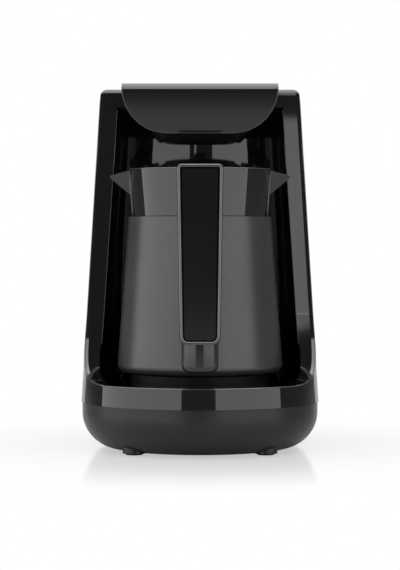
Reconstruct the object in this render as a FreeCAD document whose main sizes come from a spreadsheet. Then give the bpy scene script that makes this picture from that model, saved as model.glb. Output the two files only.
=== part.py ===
import FreeCAD, Part
import math
import os
from types import SimpleNamespace

import Sketcher
from FreeCAD import Placement, Rotation, Vector

# Electric turkish coffee maker with its jug.
# X runs to the right, Y to the back and Z up. The origin is on the table, midway between the
# front of the jug's handle and the back of the casing.

# Driving dimensions, in millimetres and degrees
DIMENSIONS = {
    # Casing in plan: a half circle in front, straight flanks and a flat arc behind
    "half_width": 79,
    "front_centre": -3,
    "back": 98,
    "rear_corner": 45,
    "rear_arc": 200,
    "wall": 2.5,
    "fit": 0.1,
    # Heights above the table
    "pan_bottom": 1,
    "parting_height": 31.7,
    "lip_height": 45,
    "top_height": 239,
    # How the casing leans and rounds
    "casing_draft": 3.57,
    "pan_inset": 0.8,
    "pan_round": 24,
    "bevel_share": 0.68,
    "roof_round": 5,
    # Rim of the pan that locates the casing
    "rim_height": 3,
    "rim_thickness": 1.6,
    # Front opening, seen from the side
    "opening_sweep": 50,
    "shoulder_round": 4,
    # Nook round the jug
    "column_width": 11.4,
    "nook_centre": -10,
    "deck_height": 42,
    "ceiling_front_drop": 12,
    "ceiling_back_drop": 35,
    "ceiling_run": 50,
    # Feet and the screws above them
    "foot_x": 42.5,
    "front_foot": -45,
    "rear_foot": 40,
    "foot_radius": 6.2,
    "foot_inset": 2,
    "foot_grip": 0.8,
    "tower_radius": 7.6,
    "case_screw_shank": 1.9,
    "case_screw_grip": 6,
    "case_screw_head": 3.4,
    "case_screw_head_height": 2.2,
    "case_screw_seat": 11,
    "boss_radius": 4,
    "board_post_radius": 3,
    # Vents in the floor of the pan
    "vent_width": 3,
    "vent_length": 34,
    "vent_pitch": 7,
    "vent_y": 56,
    # Head that reaches over the jug
    "head_half_width": 50,
    "head_height": 32,
    "head_corner": 29,
    "head_front": -50,
    "head_back": 46,
    # Front cover of the head
    "visor_front": -59,
    "visor_lean": 5,
    "visor_top_round": 6,
    "visor_bow": 150,
    "visor_hollow": 1.5,
    # Funnel under the head
    "bowl_drop": 4.6,
    "bowl_bottom_radius": 28.5,
    "bowl_rise": 5,
    "bowl_top_radius": 34,
    "bowl_collar": 4,
    "bowl_wall": 2,
    "window_radius": 8,
    "window_thickness": 1,
    "window_ledge": 1,
    "sensor_board_rise": 6,
    "sensor_board_length": 26,
    "sensor_board_depth": 14,
    "eye_spacing": 7,
    "eye_radius": 1.5,
    "eye_gap": 0.2,
    # Keys on top of the head
    "key_x": 19,
    "key_y": -26,
    "key_length": 26,
    "key_depth": 15,
    "key_corner": 5,
    "key_proud": 1,
    "key_edge": 0.7,
    "key_clearance": 0.3,
    "key_travel": 1.5,
    "key_flange": 1.5,
    "key_flange_thickness": 1.2,
    "key_stem_radius": 2.4,
    # Board under the keys
    "key_board_length": 84,
    "key_board_depth": 30,
    "key_board_drop": 11,
    "board_thickness": 1.6,
    "switch_size": 6,
    "switch_height": 3.4,
    "lamp_radius": 1.5,
    "lamp_height": 1,
    "lamp_y": -6,
    "lamp_pitch": 12,
    "board_screw_shank": 1.1,
    "board_screw_grip": 5,
    "board_screw_head": 2.2,
    "board_screw_head_height": 1.5,
    # Hotplate and what is under it
    "jug_y": -15,
    "hotplate_radius": 46,
    "hotplate_top": 52,
    "hotplate_thickness": 6,
    "plug_radius": 38,
    "plug_bottom": 40,
    "plate_edge": 1,
    "seal_outer": 45,
    "deck_hole": 39.5,
    "element_radius": 29,
    "element_tube": 3.5,
    "element_sweep": 310,
    "terminal_length": 9,
    "terminal_radius": 1.6,
    "bracket_width": 24,
    "bracket_thickness": 1.2,
    "bracket_clearance": 1,
    "bracket_foot": 10,
    "bracket_gap": 0.2,
    "fuse_radius": 2,
    "fuse_length": 12,
    "fuse_offset": -16,
    # Sprung temperature sensor
    "sensor_radius": 6,
    "sensor_clearance": 0.3,
    "sensor_proud": 1.2,
    "sensor_travel": 1.2,
    "sensor_flange": 1.8,
    "sensor_flange_thickness": 1.2,
    "sensor_shoulder": 48,
    "sensor_stem_radius": 2.2,
    "housing_bottom": 30,
    "housing_wall": 1.2,
    "sensor_spring_radius": 4.6,
    "sensor_spring_wire": 0.8,
    # Jug
    "jug_radius": 54.3,
    "jug_neck_radius": 47,
    "jug_foot_round": 5,
    "neck_height": 154,
    "rim_rise": 31.3,
    "jug_wall": 1,
    "jug_recess": 1.5,
    "jug_recess_radius": 34,
    "throat_height": 8,
    "collar_bottom_radius": 44.2,
    "collar_top_radius": 47.4,
    "collar_wall": 1.8,
    "spout_tip": 59.2,
    "spout_tip_drop": 4.2,
    "spout_depth": 18.3,
    "spout_half_width": 17,
    "spout_drop": 3,
    "spout_nose": 1.6,
    "channel_nose": 1,
    "channel_sink": 0.6,
    "channel_floor": 2.9,
    "channel_lift": 6,
    "channel_stop": 1.5,
    # Handle
    "handle_front": -98,
    "handle_lean": 3,
    "handle_top": 186.4,
    "handle_top_width": 29,
    "handle_bottom": 73.6,
    "handle_bottom_width": 25.7,
    "handle_depth": 15,
    "trim_depth": 5,
    "trim_rim": 2.8,
    "trim_foot_rim": 1.9,
    "trim_top_round": 1.6,
    "trim_foot_round": 5,
    "insert_sink": 0.3,
    "insert_depth": 2,
    "insert_clearance": 0.15,
    "foot_bottom": 55.5,
    "foot_width": 23.3,
    "arm_height": 15,
    "finger_round": 9,
    "foot_shoulder": 3,
    "foot_front_round": 5,
    "foot_corner": 5.5,
    "lug_thickness": 1.5,
    "lug_gap": 0.4,
    "lug_bottom": 59,
    "lug_height": 13,
    "lug_width": 12,
    "lug_reach": 11,
    "tongue_thickness": 2.5,
    "lug_screw_depth": 3,
    "lug_screw_bite": 5,
    # Boards and parts in the base
    "board_front": 30,
    "board_length": 50,
    "board_half_width": 30,
    "board_underside": 11,
    "transformer_x": 16,
    "transformer_y": 50,
    "transformer_size": 20,
    "transformer_height": 16,
    "relay_x": 17,
    "relay_y": 50,
    "relay_length": 15,
    "relay_width": 19,
    "relay_height": 15,
    "capacitor_y": 60,
    "capacitor_radius": 5,
    "capacitor_height": 15,
    "buzzer_y": 40,
    "buzzer_radius": 5,
    "buzzer_height": 7,
    "buzzer_hole": 1.2,
    "terminal_y": 73,
    "terminal_block_length": 22,
    "terminal_block_depth": 9,
    "terminal_block_height": 11,
    "terminal_clamp": 1.8,
    # Cord gland in the rear wall
    "gland_height": 72,
    "gland_flange": 9,
    "gland_flange_thickness": 1.8,
    "gland_neck": 6,
    "gland_bore": 3.2,
    "gland_clearance": 0.4,
}

doc = FreeCAD.newDocument("coffee_maker")
sheet = doc.addObject("Spreadsheet::Sheet", "sizes")
for row, (alias, number) in enumerate(DIMENSIONS.items(), start=1):
    sheet.set(f"A{row}", alias)
    sheet.set(f"B{row}", str(number))
    sheet.setAlias(f"B{row}", alias)
doc.recompute()


class Size:
    """A length or angle together with the spreadsheet expression that gives it."""

    def __init__(self, value, text=None):
        self.value = float(value)
        self.text = str(value) if text is None else text

    def __add__(self, other):
        other = as_size(other)
        return Size(self.value + other.value, f"({self.text} + {other.text})")

    def __sub__(self, other):
        other = as_size(other)
        return Size(self.value - other.value, f"({self.text} - {other.text})")

    def __mul__(self, other):
        other = as_size(other)
        return Size(self.value * other.value, f"({self.text} * {other.text})")

    def __truediv__(self, other):
        other = as_size(other)
        return Size(self.value / other.value, f"({self.text} / {other.text})")

    def __neg__(self):
        return Size(-self.value, f"(0 - {self.text})")

    def __radd__(self, other):
        return as_size(other) + self

    def __rsub__(self, other):
        return as_size(other) - self

    def __rmul__(self, other):
        return as_size(other) * self


def as_size(number):
    return number if isinstance(number, Size) else Size(number)


def root(size):
    return Size(math.sqrt(size.value), f"sqrt({size.text})")


def slope(angle):
    return Size(math.tan(math.radians(angle.value)), f"tan({angle.text})")


d = SimpleNamespace(**{alias: Size(number, f"sizes.{alias}") for alias, number in DIMENSIONS.items()})

# Sub-parts that are written to files, in the order they are made
parts = []


# Building blocks: bodies, sketches and features bound to the spreadsheet

def new_body(label, x=0, y=0, z=0, kept=True):
    """A body with its own label and place; kept bodies become files."""
    body = doc.addObject("PartDesign::Body", label)
    body.Label = label
    place(body, x, y, z)
    if kept:
        parts.append(body)
    return body


def place(item, x=0, y=0, z=0):
    for axis, size in (("x", as_size(x)), ("y", as_size(y)), ("z", as_size(z))):
        if size.text != "0":
            item.setExpression(f"Placement.Base.{axis}", size.text)


def new_sketch(body, name, role="XY_Plane", offset=0):
    """A sketch on one of the body's origin planes, moved along the plane's normal by offset."""
    sketch = body.newObject("Sketcher::SketchObject", f"{body.Name}_{name}")
    support = next(item for item in body.Origin.OriginFeatures if item.Role == role)
    sketch.AttachmentSupport = (support, [""])
    sketch.MapMode = "FlatFace"
    offset = as_size(offset)
    sketch.AttachmentOffset = Placement(Vector(0, 0, offset.value), Rotation())
    if offset.text != "0":
        sketch.setExpression("AttachmentOffset.Base.z", offset.text)
    return sketch


def bind(sketch, constraint, size):
    """Adds a dimension to a sketch and ties it to the spreadsheet."""
    size = as_size(size)
    index = sketch.addConstraint(Sketcher.Constraint(*constraint, size.value))
    sketch.setExpression(f"Constraints[{index}]", size.text)


def fix_point(sketch, curve, point, x, y):
    bind(sketch, ("DistanceX", -1, 1, curve, point), x)
    bind(sketch, ("DistanceY", -1, 1, curve, point), y)


def circle(sketch, x, y, radius):
    x, y, radius = as_size(x), as_size(y), as_size(radius)
    curve = Part.Circle(Vector(x.value, y.value, 0), Vector(0, 0, 1), radius.value)
    index = sketch.addGeometry(curve, False)
    fix_point(sketch, index, 3, x, y)
    bind(sketch, ("Radius", index), radius)


def arc_between(start, end, radius, turn):
    """Arc from start to end; turn is 1 for counterclockwise and -1 for clockwise."""
    chord = end - start
    middle = (start + end) * 0.5
    height = math.sqrt(max(radius ** 2 - (chord.Length / 2) ** 2, 0))
    normal = Vector(-chord.y, chord.x, 0).normalize()
    centre = middle + normal * (height * turn)
    first, last = (start, end) if turn > 0 else (end, start)
    angles = [math.atan2(point.y - centre.y, point.x - centre.x) for point in (first, last)]
    return Part.ArcOfCircle(Part.Circle(centre, Vector(0, 0, 1), radius), *angles)


def outline(sketch, corners):
    """Closed outline. A corner is (x, y), or (x, y, radius, turn) where an arc leads to it."""
    corners = [tuple(as_size(item) for item in corner[:3]) + corner[3:] for corner in corners]
    points = [Vector(corner[0].value, corner[1].value, 0) for corner in corners]
    first = sketch.GeometryCount
    ends = []
    for index, corner in enumerate(corners):
        start = points[index - 1]
        if len(corner) == 2:
            curve = Part.LineSegment(start, points[index])
            ends.append((1, 2))
        else:
            curve = arc_between(start, points[index], corner[2].value, corner[3])
            ends.append((1, 2) if corner[3] > 0 else (2, 1))
        sketch.addGeometry(curve, False)
    count = len(corners)
    for index, corner in enumerate(corners):
        following = (index + 1) % count
        here = (first + index, ends[index][1])
        onward = (first + following, ends[following][0])
        sketch.addConstraint(Sketcher.Constraint("Coincident", *here, *onward))
        fix_point(sketch, *here, corner[0], corner[1])
        if len(corner) > 2:
            bind(sketch, ("Radius", first + index), corner[2])


def rounded_rectangle(sketch, x, y, width, height, radius):
    left, right = as_size(x) - width / 2, as_size(x) + width / 2
    low, high = as_size(y) - height / 2, as_size(y) + height / 2
    outline(sketch, [
        (right - radius, low),
        (right, low + radius, radius, 1),
        (right, high - radius),
        (right - radius, high, radius, 1),
        (left + radius, high),
        (left, high - radius, radius, 1),
        (left, low + radius),
        (left + radius, low, radius, 1),
    ])


def rectangle(sketch, left, right, low, high):
    outline(sketch, [(right, low), (right, high), (left, high), (left, low)])


def feature(body, kind, name, sketch):
    item = body.newObject(f"PartDesign::{kind}", f"{body.Name}_{name}")
    item.Profile = (sketch, [""])
    return item


def extrude(body, kind, name, sketch, length, reverse=False, middle=False, draft=None):
    item = feature(body, kind, name, sketch)
    length = as_size(length)
    item.Length = length.value
    item.setExpression("Length", length.text)
    item.Reversed = reverse
    if middle:
        item.Midplane = True
    if draft is not None:
        item.TaperAngle = draft.value
        item.setExpression("TaperAngle", draft.text)
    doc.recompute()
    return item


def pad(body, name, sketch, length, **options):
    return extrude(body, "Pad", name, sketch, length, **options)


def pocket(body, name, sketch, length, **options):
    """A cut, checked to have taken material away."""
    before = body.Tip.Shape.Volume
    item = extrude(body, "Pocket", name, sketch, length, **options)
    if not item.Shape.Volume < before - 1e-6:
        raise RuntimeError(f"{body.Label}: {name} cuts nothing")
    return item


def revolve(body, name, sketch, kind="Revolution", axis="V_Axis", sweep=360):
    item = feature(body, kind, name, sketch)
    item.ReferenceAxis = (sketch, [axis])
    item.Angle = as_size(sweep).value
    if isinstance(sweep, Size):
        item.setExpression("Angle", sweep.text)
    doc.recompute()
    return item


def edge_cut(body, name, kind, size, chosen):
    """Rounds (Fillet) or bevels (Chamfer) the edges of the body's tip that the test picks."""
    base = body.Tip
    names = [f"Edge{index}" for index, edge in enumerate(base.Shape.Edges, start=1) if chosen(edge)]
    if not names:
        raise RuntimeError(f"{body.Label}: {name} finds no edge")
    item = body.newObject(f"PartDesign::{kind}", f"{body.Name}_{name}")
    item.Base = (base, names)
    field = "Radius" if kind == "Fillet" else "Size"
    setattr(item, field, size.value)
    item.setExpression(field, size.text)
    doc.recompute()
    return item


def at_height(height):
    """Picks the edges that lie level at the given height."""
    level = as_size(height).value
    return lambda edge: abs(edge.BoundBox.ZMin - level) < 0.01 and abs(edge.BoundBox.ZMax - level) < 0.01


def combine(kind, label, base, tool, kept=False):
    item = doc.addObject(f"Part::{kind}", label)
    item.Label = label
    item.Base = base
    item.Tool = tool
    doc.recompute()
    if kept:
        parts.append(item)
    return item


def posts(body, name, places, radius, bottom, top):
    """Upright round posts added to a body."""
    sketch = new_sketch(body, name, offset=bottom)
    for x, y in places:
        circle(sketch, x, y, radius)
    return pad(body, name + "_pad", sketch, top - bottom)


def bores(body, name, places, radius, bottom, top):
    """Upright round holes cut in a body."""
    sketch = new_sketch(body, name, offset=top)
    for x, y in places:
        circle(sketch, x, y, radius)
    return pocket(body, name + "_cut", sketch, top - bottom)


def spring(label, x, y, z, radius, wire, height, turns):
    """Flat-wire compression spring that stands on z: half turns, each tilted the other way."""
    body = new_body(label, x, y, z)
    rise = (height - wire) / (turns * 2)
    for index in range(turns * 2):
        side = 1 if index % 2 == 0 else -1
        level = wire / 2 + rise * index
        section = new_sketch(body, f"wire{index}", "XZ_Plane")
        rectangle(section, radius * side - wire / 2, radius * side + wire / 2, level - wire / 2, level + wire / 2)
        middle = level + rise / 2
        lean = rise / 2 * side
        axis = Part.LineSegment(Vector(-lean.value, (middle - radius).value, 0),
                                Vector(lean.value, (middle + radius).value, 0))
        line = section.addGeometry(axis, True)
        fix_point(section, line, 1, -lean, middle - radius)
        fix_point(section, line, 2, lean, middle + radius)
        revolve(body, f"half_turn{index}", section, axis="Axis0", sweep=180)
    return body


# Casing outline in plan

def casing_plan(sketch, inset=0):
    """The casing's outline at the parting line, drawn in by inset."""
    front = d.half_width - inset
    corner = d.rear_corner - inset
    rear = d.rear_arc - inset
    corner_x = d.half_width - d.rear_corner
    rear_centre = d.back - d.rear_arc
    reach = d.rear_arc - d.rear_corner
    corner_y = rear_centre + root(reach * reach - corner_x * corner_x)
    touch_x = corner_x * rear / reach
    touch_y = rear_centre + (corner_y - rear_centre) * rear / reach
    outline(sketch, [
        (0, d.front_centre - front, front, 1),
        (front, d.front_centre, front, 1),
        (front, corner_y),
        (touch_x, touch_y, corner, 1),
        (-touch_x, touch_y, rear, 1),
        (-front, corner_y, corner, 1),
        (-front, d.front_centre),
    ])


casing_height = d.top_height - d.parting_height


# Feet: places and screws

FEET = [
    (d.foot_x, d.front_foot),
    (-d.foot_x, d.front_foot),
    (d.foot_x, d.rear_foot),
    (-d.foot_x, d.rear_foot),
]
liner_floor = d.deck_height - d.wall
tower_top = d.parting_height
screw_bottom = d.pan_bottom + d.foot_inset + d.case_screw_seat


def make_base_pan():
    """Matte pan with a large round underneath, open on top, with the screw towers in it."""
    body = new_body("base_pan")
    plan = new_sketch(body, "plan", offset=d.pan_bottom)
    casing_plan(plan, d.pan_inset)
    pad(body, "block", plan, d.parting_height - d.pan_bottom)
    inside = new_sketch(body, "inside", offset=d.parting_height)
    casing_plan(inside, d.pan_inset + d.wall)
    pocket(body, "hollow", inside, d.parting_height - d.pan_bottom - d.wall)
    inner_bevel = (d.pan_round - d.wall) * d.bevel_share
    edge_cut(body, "inner_bevel", "Chamfer", inner_bevel, at_height(d.pan_bottom + d.wall))
    edge_cut(body, "outer_round", "Fillet", d.pan_round, at_height(d.pan_bottom))
    rim = new_sketch(body, "rim", offset=d.parting_height - d.rim_height)
    rim_inset = d.wall + d.fit + d.rim_height * slope(d.casing_draft)
    casing_plan(rim, rim_inset)
    casing_plan(rim, rim_inset + d.rim_thickness)
    pad(body, "rim_pad", rim, d.rim_height * 2)
    posts(body, "towers", FEET, d.tower_radius, d.pan_bottom, tower_top)
    bores(body, "foot_seats", FEET, d.foot_radius, d.pan_bottom, d.pan_bottom + d.foot_inset)
    bores(body, "head_holes", FEET, d.case_screw_head + d.fit, d.pan_bottom, screw_bottom)
    bores(body, "shank_holes", FEET, d.case_screw_shank + d.fit, screw_bottom, tower_top)
    floor = d.pan_bottom + d.wall
    posts(body, "board_posts", board_corners, d.board_post_radius, floor - d.wall / 2, d.board_underside)
    bores(body, "board_holes", board_corners, d.board_screw_shank,
          d.board_underside - d.board_screw_grip - d.fit, d.board_underside)
    vent = new_sketch(body, "vent", offset=d.pan_bottom + d.wall)
    rectangle(vent, -d.vent_width / 2, d.vent_width / 2, d.vent_y - d.vent_length / 2,
              d.vent_y + d.vent_length / 2)
    cut = pocket(body, "vent_cut", vent, d.wall)
    for side in (False, True):
        row = body.newObject("PartDesign::LinearPattern", f"base_pan_vents{int(side)}")
        row.Originals = [cut]
        row.Direction = (vent, ["H_Axis"])
        row.Reversed = side
        row.Occurrences = 3
        row.Length = 2 * d.vent_pitch.value
        row.setExpression("Length", (d.vent_pitch * 2).text)
        body.Tip = row
        doc.recompute()
    return body



def make_rubber_feet():
    """Four rubber pads in the seats under the towers, joined by nothing: one solid each."""
    feet = []
    for index, (x, y) in enumerate(FEET):
        foot = new_body(f"rubber_foot_{index + 1}", x, y, kept=False)
        profile = new_sketch(foot, "profile", "XZ_Plane")
        radius = d.foot_radius - d.fit
        top = d.pan_bottom + d.foot_inset
        outline(profile, [
            (0, 0),
            (radius - d.foot_grip, 0),
            (radius, d.foot_grip),
            (radius, top),
            (0, top),
        ])
        revolve(foot, "pad", profile)
        feet.append(foot)
    return group("rubber_feet", feet)


def group(label, items):
    """Like pieces that share one file as separate solids."""
    compound = doc.addObject("Part::Compound", label)
    compound.Label = label
    compound.Links = items
    doc.recompute()
    parts.append(compound)
    return compound


def screws(label, places, shank, length, head, head_height, z, upward=True):
    """Round-headed screws, one solid each, with the head below the shank when upward."""
    made = []
    rise = head_height if upward else -head_height
    reach = rise + (length if upward else -length)
    for index, (x, y) in enumerate(places):
        screw = new_body(f"{label}_{index + 1}", x, y, z, kept=False)
        profile = new_sketch(screw, "profile", "XZ_Plane")
        outline(profile, [
            (0, 0),
            (head, 0),
            (head, rise),
            (shank, rise),
            (shank, reach),
            (0, reach),
        ])
        revolve(screw, "body", profile)
        made.append(screw)
    return group(label, made)


def make_case_screws():
    head_seat = screw_bottom - d.case_screw_head_height
    length = tower_top - screw_bottom + d.case_screw_grip
    return screws("case_screws", FEET, d.case_screw_shank, length, d.case_screw_head,
                  d.case_screw_head_height, head_seat)


def opening_profile(sketch, grow=0):
    """The C-shaped front opening from the side: lip, sweep, upright column face, shoulder."""
    lip = d.lip_height - grow
    sweep = d.opening_sweep + grow
    face = as_size(grow)
    high = d.top_height + d.roof_round
    far = d.handle_front * 2
    corners = [
        (far, lip),
        (-d.opening_sweep, lip),
        (face, d.lip_height + d.opening_sweep, sweep, 1),
        (face, d.top_height - d.shoulder_round),
    ]
    if face.value > 0:
        corners += [(face, high)]
    else:
        corners += [(d.shoulder_round, d.top_height, d.shoulder_round, -1), (d.shoulder_round, high)]
    outline(sketch, corners + [(far, high)])


def make_outer_shell():
    """Glossy outer casing: leaning wall and roof, open below and cut away in front."""
    body = new_body("outer_shell")
    plan = new_sketch(body, "plan", offset=d.parting_height)
    casing_plan(plan)
    pad(body, "block", plan, casing_height, draft=-d.casing_draft)
    edge_cut(body, "roof_edge", "Fillet", d.roof_round, at_height(d.top_height))
    inside = new_sketch(body, "inside", offset=d.parting_height)
    casing_plan(inside, d.wall)
    pocket(body, "hollow", inside, casing_height - d.wall, reverse=True, draft=-d.casing_draft)
    opening = new_sketch(body, "opening", "YZ_Plane")
    opening_profile(opening)
    pocket(body, "opening_cut", opening, d.half_width * 3, middle=True)
    slot = new_sketch(body, "head_slot", offset=d.top_height)
    reach = d.head_half_width + d.fit
    rectangle(slot, -reach, reach, -d.head_back, d.head_back + d.fit)
    pocket(body, "head_slot_cut", slot, d.wall * 2)
    gland = new_sketch(body, "gland_hole", "XZ_Plane", offset=-(d.back + d.wall))
    circle(gland, 0, d.gland_height, d.gland_neck + d.gland_clearance)
    pocket(body, "gland_cut", gland, d.rear_corner, reverse=True)
    return body


nook_half_width = d.half_width - d.column_width
nook_offset = -d.nook_centre
nook_radius = root(nook_half_width * nook_half_width + nook_offset * nook_offset)
ceiling_front = d.top_height - d.ceiling_front_drop
ceiling_fall = (d.ceiling_back_drop - d.ceiling_front_drop) / d.ceiling_run


def make_nook(label, grow=0):
    """The space round the jug: a leaning round well under a sloping ceiling, grown by a wall."""
    body = new_body(label, 0, d.nook_centre, kept=False)
    floor = d.deck_height - grow
    lean = slope(d.casing_draft)
    well = new_sketch(body, "well", offset=floor)
    circle(well, 0, 0, nook_radius + grow - (floor - d.parting_height) * lean)
    pad(body, "block", well, d.top_height - floor, draft=-d.casing_draft)
    above = new_sketch(body, "above", "YZ_Plane")
    reach = d.half_width * 2
    front_y = -reach
    front_z = ceiling_front + grow + (reach + nook_offset) * ceiling_fall
    back_z = ceiling_front + grow - (reach - nook_offset) * ceiling_fall
    outline(above, [
        (reach, back_z),
        (reach, d.top_height * 2),
        (front_y, d.top_height * 2),
        (front_y, front_z),
    ])
    pocket(body, "ceiling", above, reach * 2, middle=True)
    return body


def make_opening(label, grow=0):
    body = new_body(label, kept=False)
    profile = new_sketch(body, "profile", "YZ_Plane")
    opening_profile(profile, grow)
    pad(body, "block", profile, d.half_width * 3, middle=True)
    return body


head_low = d.top_height - d.head_height
bowl_bottom = head_low - d.bowl_drop
key_board_top = d.top_height - d.key_board_drop


def head_profile(sketch, inset=0):
    """Cross-section of the head: flat top, two large lower corners."""
    side = d.head_half_width - inset
    top = d.top_height - inset
    low = head_low + inset
    corner = d.head_corner - inset
    outline(sketch, [
        (side - corner, low),
        (side, low + corner, corner, 1),
        (side, top),
        (-side, top),
        (-side, low + corner),
        (-side + corner, low, corner, 1),
    ])


def make_nook_liner():
    """Glossy inner moulding: column faces, lip, deck, round back wall and ceiling in one."""
    block = new_body("liner_block", kept=False)
    plan = new_sketch(block, "plan", offset=d.parting_height)
    casing_plan(plan, d.wall + d.fit)
    pad(block, "block", plan, casing_height - d.wall - d.fit, draft=-d.casing_draft)
    skin = combine("Fuse", "liner_skin", make_opening("liner_front", d.wall), make_nook("liner_well", d.wall))
    wall = combine("Common", "liner_wall", block, skin)
    bosses = new_body("liner_bosses", kept=False)
    posts(bosses, "post", FEET, d.boss_radius, tower_top + d.fit, d.deck_height - d.wall / 2)
    bossed = combine("Fuse", "liner_bossed", wall, bosses)
    opened = combine("Cut", "liner_opened", bossed, make_opening("front_space"))
    hollow = combine("Cut", "liner_hollow", opened, make_nook("nook_space"))
    passage = new_body("liner_passage", kept=False)
    shape = new_sketch(passage, "shape", "XZ_Plane", offset=-(d.head_back + d.fit))
    head_profile(shape, -d.fit)
    pad(passage, "block", shape, d.head_back + d.half_width)
    holes = new_body("liner_holes", kept=False)
    plate_hole = new_sketch(holes, "plate_hole", offset=d.parting_height)
    circle(plate_hole, 0, d.jug_y, d.deck_hole)
    pad(holes, "plate_hole_pad", plate_hole, d.deck_height)
    posts(holes, "screw_hole", FEET, d.case_screw_shank, d.parting_height,
          tower_top + d.case_screw_grip + d.fit)
    passed = combine("Cut", "liner_passed", hollow, passage)
    return combine("Cut", "nook_liner", passed, holes, kept=True)


def make_head_shell():
    """Hollow head that reaches from the back of the nook out over the jug."""
    body = new_body("head_shell")
    section = new_sketch(body, "section", "XZ_Plane", offset=-d.head_back)
    head_profile(section)
    pad(body, "block", section, d.head_back - d.head_front)
    inside = new_sketch(body, "inside", "XZ_Plane", offset=-d.head_back)
    head_profile(inside, d.wall)
    pocket(body, "hollow", inside, d.head_back - d.head_front - d.wall, reverse=True)
    posts(body, "board_posts", key_board_corners, d.board_post_radius, key_board_top,
          d.top_height - d.wall / 2)
    bores(body, "board_screw_holes", key_board_corners, d.board_screw_shank, key_board_top,
          key_board_top + d.board_screw_grip + d.fit)
    keys = new_sketch(body, "key_holes", offset=d.top_height)
    for side in (-1, 1):
        rounded_rectangle(keys, d.key_x * side, d.key_y, d.key_length, d.key_depth, d.key_corner)
    pocket(body, "key_holes_cut", keys, d.wall)
    bores(body, "lamp_holes", lamp_places, d.lamp_radius + d.fit, d.top_height - d.wall, d.top_height)
    bores(body, "bowl_hole", [(0, d.jug_y)], d.bowl_top_radius + d.fit, head_low,
          head_low + d.head_corner / 2)
    return body


def make_visor():
    """Front cover of the head: bowed face that leans back below, rounded top edge."""
    body = new_body("visor")
    depth = d.head_front - d.visor_front
    section = new_sketch(body, "section", "XZ_Plane", offset=-d.head_front)
    head_profile(section)
    pad(body, "block", section, depth)
    low = head_low
    away = d.visor_front - depth
    side = new_sketch(body, "side", "YZ_Plane")
    outline(side, [
        (away, low - depth),
        (d.visor_front + d.visor_lean, low - depth),
        (d.visor_front + d.visor_lean, low),
        (d.visor_front, d.top_height - d.visor_top_round, d.visor_bow, -1),
        (d.visor_front + d.visor_top_round, d.top_height, d.visor_top_round, -1),
        (d.visor_front + d.visor_top_round, d.top_height + depth),
        (away, d.top_height + depth),
    ])
    pocket(body, "face", side, d.head_half_width * 3, middle=True)
    inside = new_sketch(body, "inside", "XZ_Plane", offset=-d.head_front)
    head_profile(inside, d.wall)
    pocket(body, "hollow", inside, d.visor_hollow, reverse=True)
    return body


def make_head_bowl():
    """Funnel under the head with the sensor's window seat in its floor."""
    body = new_body("head_bowl", 0, d.jug_y, bowl_bottom)
    profile = new_sketch(body, "profile", "XZ_Plane")
    rise = d.bowl_drop + d.bowl_rise
    top = rise + d.bowl_collar
    seat = d.window_radius + d.fit
    outline(profile, [
        (seat - d.window_ledge, 0),
        (d.bowl_bottom_radius - d.bowl_wall, 0),
        (d.bowl_bottom_radius, d.bowl_wall),
        (d.bowl_top_radius, rise),
        (d.bowl_top_radius, top),
        (d.bowl_top_radius - d.bowl_wall, top),
        (d.bowl_top_radius - d.bowl_wall, rise),
        (d.bowl_bottom_radius - d.bowl_wall, d.bowl_wall),
        (seat, d.bowl_wall),
        (seat, d.bowl_wall / 2),
        (seat - d.window_ledge, d.bowl_wall / 2),
    ])
    revolve(body, "funnel", profile)
    posts(body, "sensor_posts", sensor_board_posts, d.boss_radius / 2, d.bowl_wall / 2, d.sensor_board_rise)
    return body


def make_sensor_window():
    body = new_body("sensor_window", 0, d.jug_y, bowl_bottom + d.bowl_wall / 2)
    profile = new_sketch(body, "profile")
    circle(profile, 0, 0, d.window_radius)
    pad(body, "disc", profile, d.window_thickness)
    return body


sensor_post_x = d.window_radius + d.fit * 2 + d.boss_radius / 2
sensor_board_posts = [(sensor_post_x, 0), (-sensor_post_x, 0)]


def make_sensor_board():
    """Small board over the window with its emitter and its receiver pointing down."""
    body = new_body("sensor_board", 0, d.jug_y, bowl_bottom + d.sensor_board_rise)
    plan = new_sketch(body, "plan")
    rectangle(plan, -d.sensor_board_length / 2, d.sensor_board_length / 2,
              -d.sensor_board_depth / 2, d.sensor_board_depth / 2)
    pad(body, "board", plan, d.board_thickness)
    eyes = [(d.eye_spacing / 2, 0), (-d.eye_spacing / 2, 0)]
    eye_bottom = d.bowl_wall / 2 + d.window_thickness + d.eye_gap - d.sensor_board_rise
    posts(body, "eyes", eyes, d.eye_radius, eye_bottom, d.board_thickness / 2)
    return body


key_board_corners = [(x * (d.key_board_length / 2 - d.boss_radius), d.key_y) for x in (1, -1)]
lamp_places = [(d.lamp_pitch * step, d.lamp_y) for step in (-1, 0, 1)]
key_places = [("small", -d.key_x), ("large", d.key_x)]
key_board_bottom = key_board_top - d.board_thickness
key_flange_top = d.top_height - d.wall - d.key_clearance


def make_key_board():
    """Board on the head's posts, with a switch under each key and a lamp under each guide."""
    body = new_body("key_board", 0, 0, key_board_bottom)
    plan = new_sketch(body, "plan")
    front = d.key_y - d.key_board_depth / 2
    rear = d.lamp_y + d.lamp_radius * 3
    rectangle(plan, -d.key_board_length / 2, d.key_board_length / 2, front, rear)
    pad(body, "board", plan, d.board_thickness)
    switches = new_sketch(body, "switches", offset=d.board_thickness)
    lamps = new_sketch(body, "lamps", offset=d.board_thickness)
    for _, x in key_places:
        rectangle(switches, x - d.switch_size / 2, x + d.switch_size / 2,
                  d.key_y - d.switch_size / 2, d.key_y + d.switch_size / 2)
    pad(body, "switches_pad", switches, d.switch_height)
    for x, y in lamp_places:
        rectangle(lamps, x - d.lamp_radius, x + d.lamp_radius, y - d.lamp_radius, y + d.lamp_radius)
    pad(body, "lamps_pad", lamps, d.lamp_height)
    bores(body, "screw_holes", key_board_corners, d.board_screw_shank + d.fit, 0, d.board_thickness)
    return body


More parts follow.
